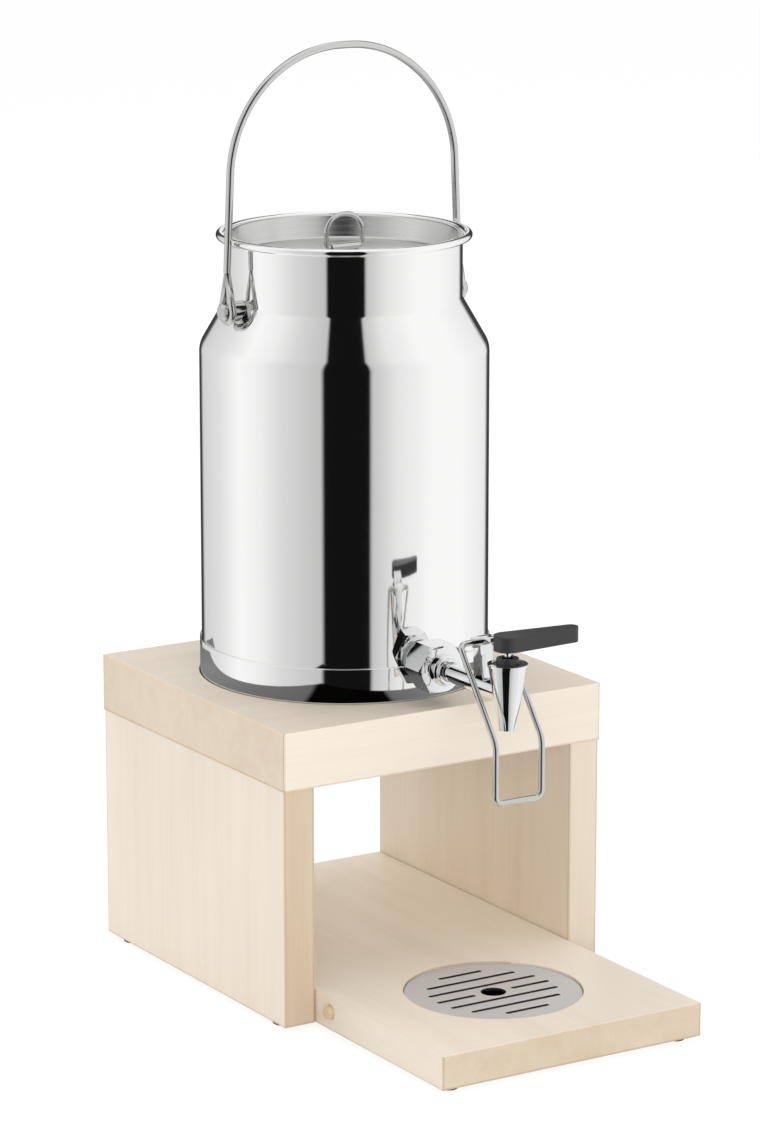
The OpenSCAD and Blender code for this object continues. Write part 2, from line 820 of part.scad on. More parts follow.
module valve_stem() {
    foot_r = stem_d / 2 + 1;
    foot_t = 1.2;
    color(steel) at_tap() rotate_extrude() polygon([
        [0, stem_end - foot_t], [foot_r, stem_end - foot_t], [foot_r, stem_end], [stem_d / 2, stem_end],
        [stem_d / 2, spring_seat], [spring_d / 2 + spring_wire, spring_seat],
        [spring_d / 2 + spring_wire, spring_seat + collar_t], [stem_d / 2, spring_seat + collar_t],
        [stem_d / 2, button_top - button_t], [button_d / 2, button_top - button_t],
        [button_d / 2, button_top], [0, button_top]
    ]);
}

module poppet() {
    color(seal_grey) at_tap() translate([0, 0, poppet_top - poppet_t]) difference() {
        cylinder(h = poppet_t, d = poppet_d);
        translate([0, 0, -1]) cylinder(h = poppet_t + 2, r = stem_d / 2 + fit_gap);
    }
}

// The return spring: one tube of six sides wound round the stem
module return_spring() {
    low = seat_top + spring_wire / 2 + fit_gap;
    high = spring_seat - spring_wire / 2 - fit_gap;
    sides = 6;
    rings = spring_turns * 12;
    points = [
        for (i = [0 : rings], k = [0 : sides - 1])
            let (
                a = 30 * i,
                b = 360 * k / sides,
                r = spring_d / 2 + spring_wire / 2 * cos(b)
            )
            [r * cos(a), r * sin(a), low + (high - low) * i / rings + spring_wire / 2 * sin(b)]
    ];
    walls = [
        for (i = [0 : rings - 1], k = [0 : sides - 1])
            let (
                a = i * sides + k,
                b = i * sides + (k + 1) % sides
            )
            each [[a, b + sides, b], [a, a + sides, b + sides]]
    ];
    ends = [
        for (k = [1 : sides - 2])
            each [[0, k, k + 1], [rings * sides, rings * sides + k + 1, rings * sides + k]]
    ];
    color(steel) at_tap() polyhedron(points, concat(walls, ends));
}

// The chrome fork that carries the lever and turns with the cup frame's rod
module rocker_heel() {
    web_y = hub_back + fit_gap;
    slot_y = rod_back - lug_r - 1.4;
    color(steel) at_tap() difference() {
        union() {
            difference() {
                side_view(heel_w) round_bar([rod_back, rod_up], cheek_r, [web_y + 2, hub_mid], 2, heel_w);
                translate([-heel_w, web_y - heel_w, 0]) cube([2 * heel_w, heel_w, 2 * rod_up]);
            }
            translate([-tongue_w / 2, hub_back - tongue_in, hub_mid - tongue_h / 2])
                cube([tongue_w, tongue_in + 3, tongue_h]);
        }
        translate([-lug_w / 2 - run_gap, slot_y, 0]) cube([lug_w + 2 * run_gap, 2 * rod_back, 2 * rod_up]);
        translate([-heel_w, rod_back, rod_up]) rotate([0, 90, 0])
            cylinder(h = 2 * heel_w, r = rod_r + pin_gap);
        pin_hole();
    }
}

// The upright hole of the lever and the heel's tongue, open at the bottom
module pin_hole() {
    translate([0, pin_y, hub_z - 1]) cylinder(h = pin_top + fit_gap - hub_z + 1, d = pin_d + 2 * fit_gap);
}

// The drop-shaped lever: a round hub on the spout's axis and a narrower tip to the right
module lever_handle() {
    color(black) at_tap() difference() {
        translate([0, 0, hub_z]) rotate([0, 0, -lever_lead])
            round_bar([0, 0], hub_d / 2, [lever_len, 0], tip_r, hub_h);
        translate([-tongue_w / 2 - fit_gap, hub_back - tongue_in - fit_gap, hub_mid - tongue_h / 2 - fit_gap])
            cube([tongue_w + 2 * fit_gap, 2 * tongue_in, tongue_h + 2 * fit_gap]);
        pin_hole();
    }
}

module lever_pin() {
    color(steel) at_tap() translate([0, pin_y, hub_z + pin_recess])
        cylinder(h = pin_top - hub_z - pin_recess, d = pin_d);
}

// The bent wire that a cup pushes: its upper rod is the lever's pivot
module cup_frame() {
    x = frame_w / 2;
    color(steel) at_tap() wire(
        [[-x, -frame_out, -bar_down], [x, -frame_out, -bar_down], [x, -frame_out, -knee_down],
         [x, rod_back, rod_up], [-x, rod_back, rod_up], [-x, -frame_out, -knee_down]],
        [frame_bend, frame_bend, knee_bend, frame_bend, frame_bend, knee_bend], frame_wire, closed = true
    );
}

top_plate();
left_panel();
right_panel();
panel_dowels();
panel_feet();
drip_board();
stop_pegs();
board_feet();
drip_tray();
drip_grid();
can_body();
can_neck();
can_skirt();
left_ear();
right_ear();
bail_handle();
lid();
loop_strap();
lid_loop();
tap_body();
outer_seal();
flange_washer();
hex_nut();
shank_collar();
inner_seal();
lock_nut();
bonnet();
stem_seal();
valve_stem();
poppet();
return_spring();
rocker_heel();
lever_handle();
lever_pin();
cup_frame();
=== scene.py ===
"""Looks of the milk dispenser: pale maple, polished and brushed steel, a push tap and a plain studio."""

import json
import math

import bmesh
import bpy
from bpy.props import FloatProperty, FloatVectorProperty, IntProperty, PointerProperty
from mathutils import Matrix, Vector


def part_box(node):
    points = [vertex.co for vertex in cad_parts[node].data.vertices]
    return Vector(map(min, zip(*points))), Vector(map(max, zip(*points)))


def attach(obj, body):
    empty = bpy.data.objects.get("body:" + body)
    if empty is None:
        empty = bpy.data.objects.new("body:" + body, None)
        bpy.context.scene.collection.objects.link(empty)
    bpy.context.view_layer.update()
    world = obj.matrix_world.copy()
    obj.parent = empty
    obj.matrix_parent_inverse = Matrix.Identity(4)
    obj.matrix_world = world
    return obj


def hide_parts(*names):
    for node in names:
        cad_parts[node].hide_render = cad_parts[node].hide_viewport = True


bl_info = {
    "name": "Milk Dispenser Looks",
    "version": (1, 0, 0),
    "blender": (4, 5, 0),
    "location": "3D View > Sidebar > Dispenser",
    "description": "Dresses the milk dispenser's solids in wood, steel and plastic and sets up a studio",
    "category": "Object",
}

# Points this close are one; faces this flat are joined; edges this sharp are rounded or stay sharp
MERGE_DISTANCE = 1e-6
FLAT_ANGLE = math.radians(0.4)
ROUNDED_ANGLE = math.radians(35)
SHARP_ANGLE = math.radians(28)
# Stands for zero in a division
TINY = 1e-9
# Room that keeps a bent wire inside the box of its solid
WIRE_INSET = 0.00005
# Steps round one side of a bail's eye, and the angles that the can's rim is rolled through
EYE_STEPS = 24
ROLL_DEGREES = range(-150, 180, 10)

# Maple grain: stretch along and across the grain per metre, detail and share of the tan
FINE_GRAIN = (14, 620, 3.0, 0.24)
STREAKS = (5, 95, 2.0, 0.26)
CLOUDS = (7, 22, 2.0, 0.4)
STAVE_WIDTH = 0.046
STAVE_SHARE = 0.05
BASE_TAN = 0.14
# Tan of the upright corners, and painted shade along the bottom edges
EDGE_TAN_AND_SHADE = 0.4
# A face counts as square to an axis when its normal has more than this along it
SQUARE_FACE = 0.71
# A face of the grid with less than this upward is an upright face, which gets painted shade
SHADED_WALL_FACE = 0.5

# Studio: the floor's reach and how much of it glows, and where the lamps stand
FLOOR_REACH = 20
FLOOR_SHARE = 0.85
FLOOR_GLOW = 1.06
LOOK_AT = (0, 0, 0.25)
KEY_PLACE = (-1.2, -2.9, 1.0)
TOP_PLACE = (0.2, 0.2, 2.8)
BACK_PLACE = (-0.9, 2.8, 0.9)
LAMP_SIZE = 2.0
TOP_SIZE = 2.4
# Width in millimetres that the lens counts on
SENSOR_WIDTH = 36
# Round screen that only mirrors see, with a dim card that lies on the plate round the can
SCREEN_RADIUS = 0.6
SCREEN_LOW = 0.002
SCREEN_HIGH = 1.3
SCREEN_FLOOR = 0.28
SCREEN_STEPS = 360
CARD_RADIUS = 0.0885
CARD_RISE = 0.0004
CARD_SHARE = 0.24
# Brightness of the screen at an angle in degrees, counted from the camera
SCREEN_LEVELS = (
    (-180, 0.9), (-172, 0.9), (-168, 0.05), (-151, 0.05), (-144, 0.66), (-110, 0.79), (-85, 1.0),
    (-65, 0.91), (-45, 0.72), (-16.5, 0.56), (-14.5, 0.006), (18.5, 0.006), (20.5, 0.58), (40, 0.84),
    (70, 1.0), (100, 1.0), (142, 0.85), (150, 0.05), (168, 0.05), (172, 0.9), (180, 0.9),
)

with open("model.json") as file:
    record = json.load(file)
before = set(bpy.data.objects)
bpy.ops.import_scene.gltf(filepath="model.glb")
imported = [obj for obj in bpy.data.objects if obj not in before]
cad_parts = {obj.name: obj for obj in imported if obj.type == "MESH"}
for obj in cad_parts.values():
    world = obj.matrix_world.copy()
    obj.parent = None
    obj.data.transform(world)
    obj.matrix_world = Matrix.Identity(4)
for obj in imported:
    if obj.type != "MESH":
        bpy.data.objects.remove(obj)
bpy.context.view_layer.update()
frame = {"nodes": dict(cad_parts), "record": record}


def middle(node):
    """Centre of a CAD node's box."""
    low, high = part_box(node)
    return (low + high) / 2


class DispenserSizes(bpy.types.PropertyGroup):
    """Sizes of the pieces that are made anew on the solids."""

    wood_edge: FloatProperty(
        name="Wood edge", description="Rounding of the wooden edges", default=0.0011, unit="LENGTH"
    )
    metal_edge: FloatProperty(
        name="Metal edge", description="Rounding of the tap's edges", default=0.0004, unit="LENGTH"
    )
    sheet_edge: FloatProperty(
        name="Sheet edge", description="Rounding of sheet edges", default=0.0002, unit="LENGTH"
    )
    lever_edge: FloatProperty(
        name="Lever edge", description="Rounding of the lever's edges", default=0.0026, unit="LENGTH"
    )
    foot_edge: FloatProperty(
        name="Foot edge", description="Rounding of the feet", default=0.0006, unit="LENGTH"
    )
    sheet: FloatProperty(
        name="Sheet", description="Sheet thickness of can and lid", default=0.001, unit="LENGTH"
    )
    neck_radius: FloatProperty(
        name="Neck radius", description="Outer radius of the can's neck", default=0.0705, unit="LENGTH"
    )
    rim_radius: FloatProperty(
        name="Rim radius", description="Outer radius of the rolled rim", default=0.0763, unit="LENGTH"
    )
    bead: FloatProperty(
        name="Bead", description="Diameter of the rolled bead", default=0.0046, unit="LENGTH"
    )
    neck_height: FloatProperty(
        name="Neck height", description="Height of the neck with the rim", default=0.040, unit="LENGTH"
    )
    shoulder_height: FloatProperty(
        name="Shoulder height", description="Height of the sloping shoulder", default=0.028, unit="LENGTH"
    )
    floor_bend: FloatProperty(
        name="Floor bend", description="Bend at the can's floor", default=0.006, unit="LENGTH"
    )
    shoulder_bend: FloatProperty(
        name="Shoulder bend", description="Bend under the shoulder", default=0.016, unit="LENGTH"
    )
    neck_bend: FloatProperty(
        name="Neck bend", description="Bend under the neck", default=0.004, unit="LENGTH"
    )
    dish_radius: FloatProperty(
        name="Dish radius", description="Outer radius of the lid's dish", default=0.0689, unit="LENGTH"
    )
    dish_draw: FloatProperty(
        name="Dish draw", description="Draw of the dish's wall", default=0.004, unit="LENGTH"
    )
    disc_radius: FloatProperty(
        name="Disc radius", description="Radius of the lid's raised disc", default=0.041, unit="LENGTH"
    )
    disc_rise: FloatProperty(
        name="Disc rise", description="Height of the lid's raised disc", default=0.002, unit="LENGTH"
    )
    disc_bend: FloatProperty(
        name="Disc bend", description="Bends of the lid's raised disc", default=0.001, unit="LENGTH"
    )
    dish_bend: FloatProperty(
        name="Dish bend", description="Bend at the bottom of the lid's dish", default=0.002, unit="LENGTH"
    )
    flange_bend: FloatProperty(
        name="Flange bend", description="Bend under the lid's flange", default=0.0012, unit="LENGTH"
    )
    bail_wire: FloatProperty(
        name="Bail wire", description="Wire diameter of the bail", default=0.0045, unit="LENGTH"
    )
    bail_splay: FloatProperty(
        name="Bail splay", description="Lean of the bail's legs", default=math.radians(2.5), subtype="ANGLE"
    )
    bail_flat: FloatProperty(
        name="Bail flat", description="Straight length at the top of the bail", default=0.006, unit="LENGTH"
    )
    eye_height: FloatProperty(
        name="Eye height", description="Height of the bail's eye over its pivot", default=0.023, unit="LENGTH"
    )
    eye_radius: FloatProperty(
        name="Eye radius", description="Centre radius of the bail's eye", default=0.00605, unit="LENGTH"
    )
    weld: FloatProperty(
        name="Weld", description="Extra width of the welds on the bail", default=0.0008, unit="LENGTH"
    )
    loop_wire: FloatProperty(
        name="Loop wire", description="Wire diameter of the lid's loop", default=0.003, unit="LENGTH"
    )
    loop_bend: FloatProperty(
        name="Loop bend", description="Lower bends of the lid's loop", default=0.003, unit="LENGTH"
    )
    loop_flat: FloatProperty(
        name="Loop flat", description="Half the straight top of the lid's loop", default=0.001, unit="LENGTH"
    )
    frame_wire: FloatProperty(
        name="Frame wire", description="Wire diameter of the cup frame", default=0.0036, unit="LENGTH"
    )
    frame_bend: FloatProperty(
        name="Frame bend", description="Corner bends of the cup frame", default=0.0045, unit="LENGTH"
    )
    knee_bend: FloatProperty(
        name="Knee bend", description="Bend at the cup frame's knee", default=0.014, unit="LENGTH"
    )
    knee_height: FloatProperty(
        name="Knee height", description="Height of the cup frame's knee", default=0.1787, unit="LENGTH"
    )
    turn_steps: IntProperty(
        name="Turn steps", description="Steps round a turned piece", default=256, min=24
    )
    wire_sides: IntProperty(name="Wire sides", description="Sides of a wire", default=24, min=8)


class DispenserColours(bpy.types.PropertyGroup):
    """Colours of the finishes."""

    maple_light: FloatVectorProperty(
        name="Light maple", description="Face of the maple", subtype="COLOR", default=(0.86, 0.775, 0.66)
    )
    # Tan of the end grain and edges, also the colour of the painted shade on bottom edges and the right
    # panel's inner faces
    maple_tan: FloatVectorProperty(
        name="Tan maple", description="Ends and edges of maple", subtype="COLOR", default=(0.585, 0.44, 0.29)
    )
    peg_tan: FloatVectorProperty(
        name="Peg", description="Wooden pegs and dowels", subtype="COLOR", default=(0.72, 0.56, 0.35)
    )
    steel: FloatVectorProperty(
        name="Steel", description="Polished steel", subtype="COLOR", default=(0.93, 0.93, 0.925)
    )
    wire: FloatVectorProperty(
        name="Wire", description="Bail, loop and cup frame", subtype="COLOR", default=(0.62, 0.62, 0.615)
    )
    brushed: FloatVectorProperty(
        name="Brushed steel", description="Brushed steel", subtype="COLOR", default=(0.64, 0.64, 0.635)
    )
    grid: FloatVectorProperty(
        name="Grid", description="Matt steel of the drip grid", subtype="COLOR", default=(0.7, 0.72, 0.755)
    )
    # Near-black painted shade on the grid's upright faces, the walls of its slots
    cut: FloatVectorProperty(
        name="Cut edge", description="Cut edges of the drip grid", subtype="COLOR",
        default=(0.04, 0.04, 0.042),
    )
    # Dull steel darkened with painted shade, for the inside of the tray seen under the grid
    tray: FloatVectorProperty(
        name="Tray", description="Dull steel of the drip tray", subtype="COLOR", default=(0.26, 0.26, 0.265)
    )
    chrome: FloatVectorProperty(
        name="Chrome", description="Polished plating of the tap", subtype="COLOR", default=(0.84, 0.845, 0.85)
    )
    black: FloatVectorProperty(
        name="Black plastic", description="Lever and bonnet", subtype="COLOR", default=(0.028, 0.027, 0.029)
    )
    rubber: FloatVectorProperty(
        name="Rubber", description="Feet", subtype="COLOR", default=(0.018, 0.018, 0.018)
    )
    silicone: FloatVectorProperty(
        name="Silicone", description="Seals", subtype="COLOR", default=(0.55, 0.57, 0.58)
    )


class DispenserStage(bpy.types.PropertyGroup):
    """Camera and lights of the studio."""

    lens: FloatProperty(name="Lens", description="Focal length in millimetres", default=139.56)
    distance: FloatProperty(
        name="Distance", description="Camera to the point it looks at", default=2.66616, unit="LENGTH"
    )
    azimuth: FloatProperty(
        name="Azimuth", description="Turn of the camera round the part", subtype="ANGLE",
        default=math.radians(-31.83),
    )
    elevation: FloatProperty(
        name="Elevation", description="Camera above the horizon", default=math.radians(13.3), subtype="ANGLE"
    )
    target: FloatVectorProperty(
        name="Target", description="Point the camera looks at", subtype="XYZ",
        default=(0.01698, 0.0595, 0.2423),
    )
    sky: FloatProperty(name="Sky", description="Soft light from all round", default=0.65)
    key: FloatProperty(name="Key", description="Power of the front lamp in watts", default=37.0)
    top: FloatProperty(name="Top", description="Power of the lamp overhead in watts", default=28.0)
    back: FloatProperty(name="Back", description="Power of the lamp behind in watts", default=36.0)
    floor: FloatVectorProperty(
        name="Floor", description="Colour of the floor", subtype="COLOR", default=(0.9, 0.9, 0.9)
    )


class Value:
    """A socket of a shader, so that maths on it reads as an expression."""

    def __init__(self, shader, socket):
        self.shader = shader
        self.socket = socket

    def maths(self, operation, *values):
        return self.shader.node("ShaderNodeMath", {"operation": operation}, dict(enumerate(values)))

    def __add__(self, other):
        return self.maths("ADD", self, other)

    def __radd__(self, other):
        return self.maths("ADD", other, self)

    def __sub__(self, other):
        return self.maths("SUBTRACT", self, other)

    def __rsub__(self, other):
        return self.maths("SUBTRACT", other, self)

    def __mul__(self, other):
        return self.maths("MULTIPLY", self, other)

    def __rmul__(self, other):
        return self.maths("MULTIPLY", other, self)

    def __truediv__(self, other):
        return self.maths("DIVIDE", self, other)

    def __pow__(self, other):
        return self.maths("POWER", self, other)

    def __gt__(self, other):
        return self.maths("GREATER_THAN", self, other)

    def __abs__(self):
        return self.maths("ABSOLUTE", self)

    def floor(self):
        return self.maths("FLOOR", self)


class Shader:
    """A material that is built node by node."""

    def __init__(self, name):
        self.material = bpy.data.materials.new(name)
        self.material.use_nodes = True
        self.tree = self.material.node_tree
        self.tree.nodes.clear()
        self.output = self.tree.nodes.new("ShaderNodeOutputMaterial")

    def node(self, kind, settings=None, inputs=None, output=0):
        node = self.tree.nodes.new(kind)
        for key, value in (settings or {}).items():
            if key == "stops":
                ramp = node.color_ramp.elements
                while len(ramp) < len(value):
                    ramp.new(1.0)
                for element, (place, level) in zip(ramp, value):
                    element.position = place
                    element.color = (level, level, level, 1.0)
            else:
                setattr(node, key, value)
        for key, value in (inputs or {}).items():
            self.set(node.inputs[key], value)
        return Value(self, node.outputs[output])

    def set(self, socket, value):
        if isinstance(value, Value):
            self.tree.links.new(value.socket, socket)
        elif socket.type == "RGBA" and len(value) == 3:
            socket.default_value = (*value, 1.0)
        else:
            socket.default_value = value

    def coordinates(self, output="Object"):
        return self.node("ShaderNodeTexCoord", output=output)

    def placed(self, place=(0, 0, 0), scale=(1, 1, 1)):
        """Object coordinates counted from a place and stretched by a scale."""
        moved = self.node(
            "ShaderNodeVectorMath", {"operation": "SUBTRACT"}, {0: self.coordinates(), 1: tuple(place)}
        )
        return self.node("ShaderNodeVectorMath", {"operation": "MULTIPLY"}, {0: moved, 1: tuple(scale)})

    def axis(self, vector, letter):
        return self.node("ShaderNodeSeparateXYZ", inputs={0: vector}, output=letter)

    def noise(self, vector, scale=1.0, detail=2.0):
        return self.node(
            "ShaderNodeTexNoise", inputs={"Vector": vector, "Scale": scale, "Detail": detail}
        )

    def mix(self, factor, first, second):
        """A colour between two colours."""
        node = self.tree.nodes.new("ShaderNodeMix")
        node.data_type = "RGBA"
        for index, value in ((0, factor), (6, first), (7, second)):
            self.set(node.inputs[index], value)
        return Value(self, node.outputs[2])

    def around(self, level, noise, spread):
        """A level that a noise moves up and down."""
        return level + (noise - 0.5) * spread

    def bump(self, height, strength, distance):
        return self.node(
            "ShaderNodeBump", inputs={"Height": height, "Strength": strength, "Distance": distance}
        )

    def surface(self, **inputs):
        """Ends the material in a Principled surface, with names such as base_color."""
        named = {key.replace("_", " ").title(): value for key, value in inputs.items()}
        shade = self.node("ShaderNodeBsdfPrincipled", inputs=named)
        self.tree.links.new(shade.socket, self.output.inputs["Surface"])
        return self.material


def maple(name, node, grain, faces, offset, colours):
    """Pale maple with its grain along one axis; faces says how tan the faces square to an axis are, for end
    grain and for painted light and shade.

    The upright edges of the node's box are tan too, and its bottom edges are darkened with painted shade,
    where it meets the next part or the floor.
    """
    shader = Shader(name)
    low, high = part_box(node)
    half = (high - low) / 2 - Vector([bpy.context.scene.dispenser_sizes.wood_edge] * 3)
    place = shader.placed((low + high) / 2)
    near_x, near_y = (abs(shader.axis(place, "XY"[i])) > half[i] for i in range(2))
    # Painted shade along the bottom edges, at joints and by the floor; the upright corners are tan
    bottom_edge_shade = shader.axis(place, "Z") * -1.0 > half.z
    edge = near_x * near_y + bottom_edge_shade * (near_x + near_y)
    layers = []
    for along, across, detail, share in (FINE_GRAIN, STREAKS, CLOUDS):
        stretch = [along if letter == grain else across for letter in "XYZ"]
        layers.append((shader.noise(shader.placed(offset, stretch), detail=detail), share))
    fine, streak = layers[0][0], layers[1][0]
    side = shader.axis(shader.placed(offset), "X" if grain == "Y" else "Y")
    stave = shader.node(
        "ShaderNodeTexWhiteNoise", {"noise_dimensions": "1D"}, {"W": (side / STAVE_WIDTH).floor()}
    )
    layers.append((stave, STAVE_SHARE))
    tan = edge * EDGE_TAN_AND_SHADE + BASE_TAN
    for layer, share in layers:
        tan = shader.around(tan, layer, share)
    normal = shader.coordinates("Normal")
    # Tan by face: end grain, painted shade, and painted light where a depth is below zero
    for letter, depth in faces.items():
        tan = tan + (abs(shader.axis(normal, letter)) > SQUARE_FACE) * depth
    tan = shader.node("ShaderNodeClamp", inputs={0: tan})
    colour = shader.mix(tan, colours.maple_light, colours.maple_tan)
    return shader.surface(
        base_color=colour,
        roughness=shader.around(0.44, streak, spread=0.12),
        normal=shader.bump(fine, strength=0.12, distance=0.0002),
    )


def plain_wood(name, colours):
    """The darker wood of pegs and dowels, with grain along their length."""
    shader = Shader(name)
    fine = shader.noise(shader.placed(scale=(60, 700, 700)))
    colour = shader.mix(fine, colours.peg_tan, colours.maple_tan)
    return shader.surface(base_color=colour, roughness=0.5)


def polished(name, tint, roughness):
    """Mirror-polished metal with a faint unevenness of its polish."""
    shader = Shader(name)
    haze = shader.noise(shader.placed(scale=(35, 35, 12)), detail=3.0)
    return shader.surface(
        base_color=tint, metallic=1.0, roughness=shader.around(roughness, haze, spread=0.03)
    )


def turned(name, tint, centre):
    """Steel brushed in rings round an upright axis."""
    shader = Shader(name)
    place = shader.placed((centre.x, centre.y, 0))
    x, y = shader.axis(place, "X"), shader.axis(place, "Y")
    radius = (x * x + y * y) ** 0.5
    rings = shader.node(
        "ShaderNodeTexNoise", {"noise_dimensions": "1D"}, {"W": radius * 2600, "Scale": 1.0, "Detail": 2.0}
    )
    return shader.surface(
        base_color=tint,
        metallic=1.0,
        roughness=shader.around(0.26, rings, spread=0.14),
        normal=shader.bump(rings, strength=0.06, distance=0.0001),
    )


def brushed(name, tint, cut):
    """Matt steel brushed along X, which also scatters some light, with painted shade, near black, on its
    upright faces such as the walls of its slots.
    """
    shader = Shader(name)
    # The upright faces take the painted shade
    face = abs(shader.axis(shader.coordinates("Normal"), "Z")) > SHADED_WALL_FACE
    lines = shader.noise(shader.placed(scale=(25, 2400, 2400)))
    return shader.surface(
        base_color=shader.mix(face, cut, tint),
        metallic=0.6,
        roughness=shader.around(0.46, lines, spread=0.16),
        normal=shader.bump(lines, strength=0.07, distance=0.0001),
    )


def moulded(name, tint, roughness):
    """Plastic, rubber or silicone with a fine moulded grain."""
    shader = Shader(name)
    grain = shader.noise(shader.placed(), scale=2600.0)
    return shader.surface(
        base_color=tint,
        roughness=shader.around(roughness, grain, spread=0.08),
        normal=shader.bump(grain, strength=0.08, distance=0.0001),
    )


def finishes():
    """Makes the finishes once and returns them by name."""
    if "maple plate" not in bpy.data.materials:
        colours = bpy.context.scene.dispenser_colours
        # Face tans: the plate's X, the panels' Z and the board's Y faces are end grain, and the panels' Y
        # faces are tan. The plate's Y and the board's Z faces are lightened with painted light, and the right
        # panel's X faces are darkened with painted shade of the bridge's inside
        for name, node, grain, faces, offset in (
            ("maple plate", "top_plate", "X", {"X": 0.4, "Y": -0.12}, (0.31, 0.17, 0.05)),
            ("maple left panel", "left_panel", "Z", {"Y": 0.64, "Z": 0.64}, (0.12, 0.43, 0.21)),
            ("maple right panel", "right_panel", "Z", {"X": 0.24, "Y": 0.18, "Z": 0.18}, (0.57, 0.26, 0.33)),
            ("maple board", "drip_board", "Y", {"Y": 0.5, "Z": -0.12}, (0.71, 0.09, 0.64)),
        ):
            maple(name, node, grain, faces, offset, colours)
        plain_wood("peg wood", colours)
        polished("polished steel", colours.steel, roughness=0.055)
        polished("polished wire", colours.wire, roughness=0.14)
        polished("tap chrome", colours.chrome, roughness=0.04)
        turned("turned lid steel", colours.brushed, middle("lid"))
        # The tray's steel is darkened with painted shade
        turned("turned tray steel", colours.tray, middle("drip_tray"))
        brushed("brushed grid steel", colours.grid, colours.cut)
        moulded("black plastic", colours.black, roughness=0.42)
        moulded("foot rubber", colours.rubber, roughness=0.7)
        moulded("seal silicone", colours.silicone, roughness=0.5)
    return bpy.data.materials


def new_object(name, mesh, material):
    """Links a mesh as an object with one material."""
    mesh.materials.clear()
    mesh.materials.append(finishes()[material])
    piece = bpy.data.objects.new(name, mesh)
    bpy.context.scene.collection.objects.link(piece)
    return piece


def settle(piece):
    """Turns a piece with modifiers into a plain mesh."""
    graph = bpy.context.evaluated_depsgraph_get()
    mesh = bpy.data.meshes.new_from_object(piece.evaluated_get(graph))
    piece.modifiers.clear()
    old, piece.data = piece.data, mesh
    bpy.data.meshes.remove(old)
    return piece


def stand_for(piece, *nodes):
    """Gives a piece the body of its CAD nodes, which it hides."""
    record = frame["record"]
    body = next(b for b, members in record["behaviour"]["bodies"].items() if nodes[0] in members)
    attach(piece, body)
    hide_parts(*nodes)
    return piece


def eased(node, edge, material, segments=3):
    """A copy of a CAD node with rounded edges, standing for it."""
    work = bmesh.new()
    work.from_mesh(frame["nodes"][node].data)
    bmesh.ops.remove_doubles(work, verts=work.verts, dist=MERGE_DISTANCE)
    bmesh.ops.dissolve_limit(work, angle_limit=FLAT_ANGLE, verts=work.verts, edges=work.edges)
    mesh = bpy.data.meshes.new(node + " eased")
    work.to_mesh(mesh)
    work.free()
    if "custom_normal" in mesh.attributes:
        mesh.attributes.remove(mesh.attributes["custom_normal"])
    mesh.polygons.foreach_set("use_smooth", [True] * len(mesh.polygons))
    piece = new_object(node + "_eased", mesh, material)
    bevel = piece.modifiers.new("Edges", "BEVEL")
    bevel.width = edge
    bevel.segments = segments
    bevel.limit_method = "ANGLE"
    bevel.angle_limit = ROUNDED_ANGLE
    bevel.harden_normals = True
    return stand_for(settle(piece), node)


def carry(node, material):
    """Shows a CAD node as it is, with a finish."""
    mesh = frame["nodes"][node].data
    mesh.materials.clear()
    mesh.materials.append(finishes()[material])


def rounded(points, radii, steps=10):
    """Outline whose corners are rounded by the given radii."""
    path = []
    count = len(points)
    for i, (point, radius) in enumerate(zip(points, radii)):
        here = Vector(point)
        if radius == 0:
            path.append(here)
            continue
        into = (here - Vector(points[i - 1])).normalized()
        out = (Vector(points[(i + 1) % count]) - here).normalized()
        turn = into.angle(out)
        start = here - into * radius * math.tan(turn / 2)
        inward = (out - into * into.dot(out)).normalized()
        for k in range(steps + 1):
            angle = turn * k / steps
            path.append(start + radius * (math.sin(angle) * into + (1 - math.cos(angle)) * inward))
    return path


def turned_mesh(name, outline, axis_y, steps):
    """A closed outline of (radius, height) turned round an upright axis."""
    work = bmesh.new()
    rings = []
    for point in outline:
        if point[0] < MERGE_DISTANCE:
            rings.append([work.verts.new((0, axis_y, point[1]))])
            continue
        rings.append(
            [
                work.verts.new(
                    (
                        point[0] * math.cos(math.tau * k / steps),
                        axis_y + point[0] * math.sin(math.tau * k / steps),
                        point[1],
                    )
                )
                for k in range(steps)
            ]
        )
    for a, b in zip(rings, rings[1:] + rings[:1]):
        if len(a) == len(b) == 1:
            continue
        for k in range(steps):
            corners = [a[k % len(a)], a[(k + 1) % len(a)], b[(k + 1) % len(b)], b[k % len(b)]]
            work.faces.new(list(dict.fromkeys(corners)))
    bmesh.ops.recalc_face_normals(work, faces=work.faces)
    mesh = bpy.data.meshes.new(name)
    work.to_mesh(mesh)
    work.free()
    mesh.shade_smooth()
    mesh.set_sharp_from_angle(angle=SHARP_ANGLE)
    return mesh


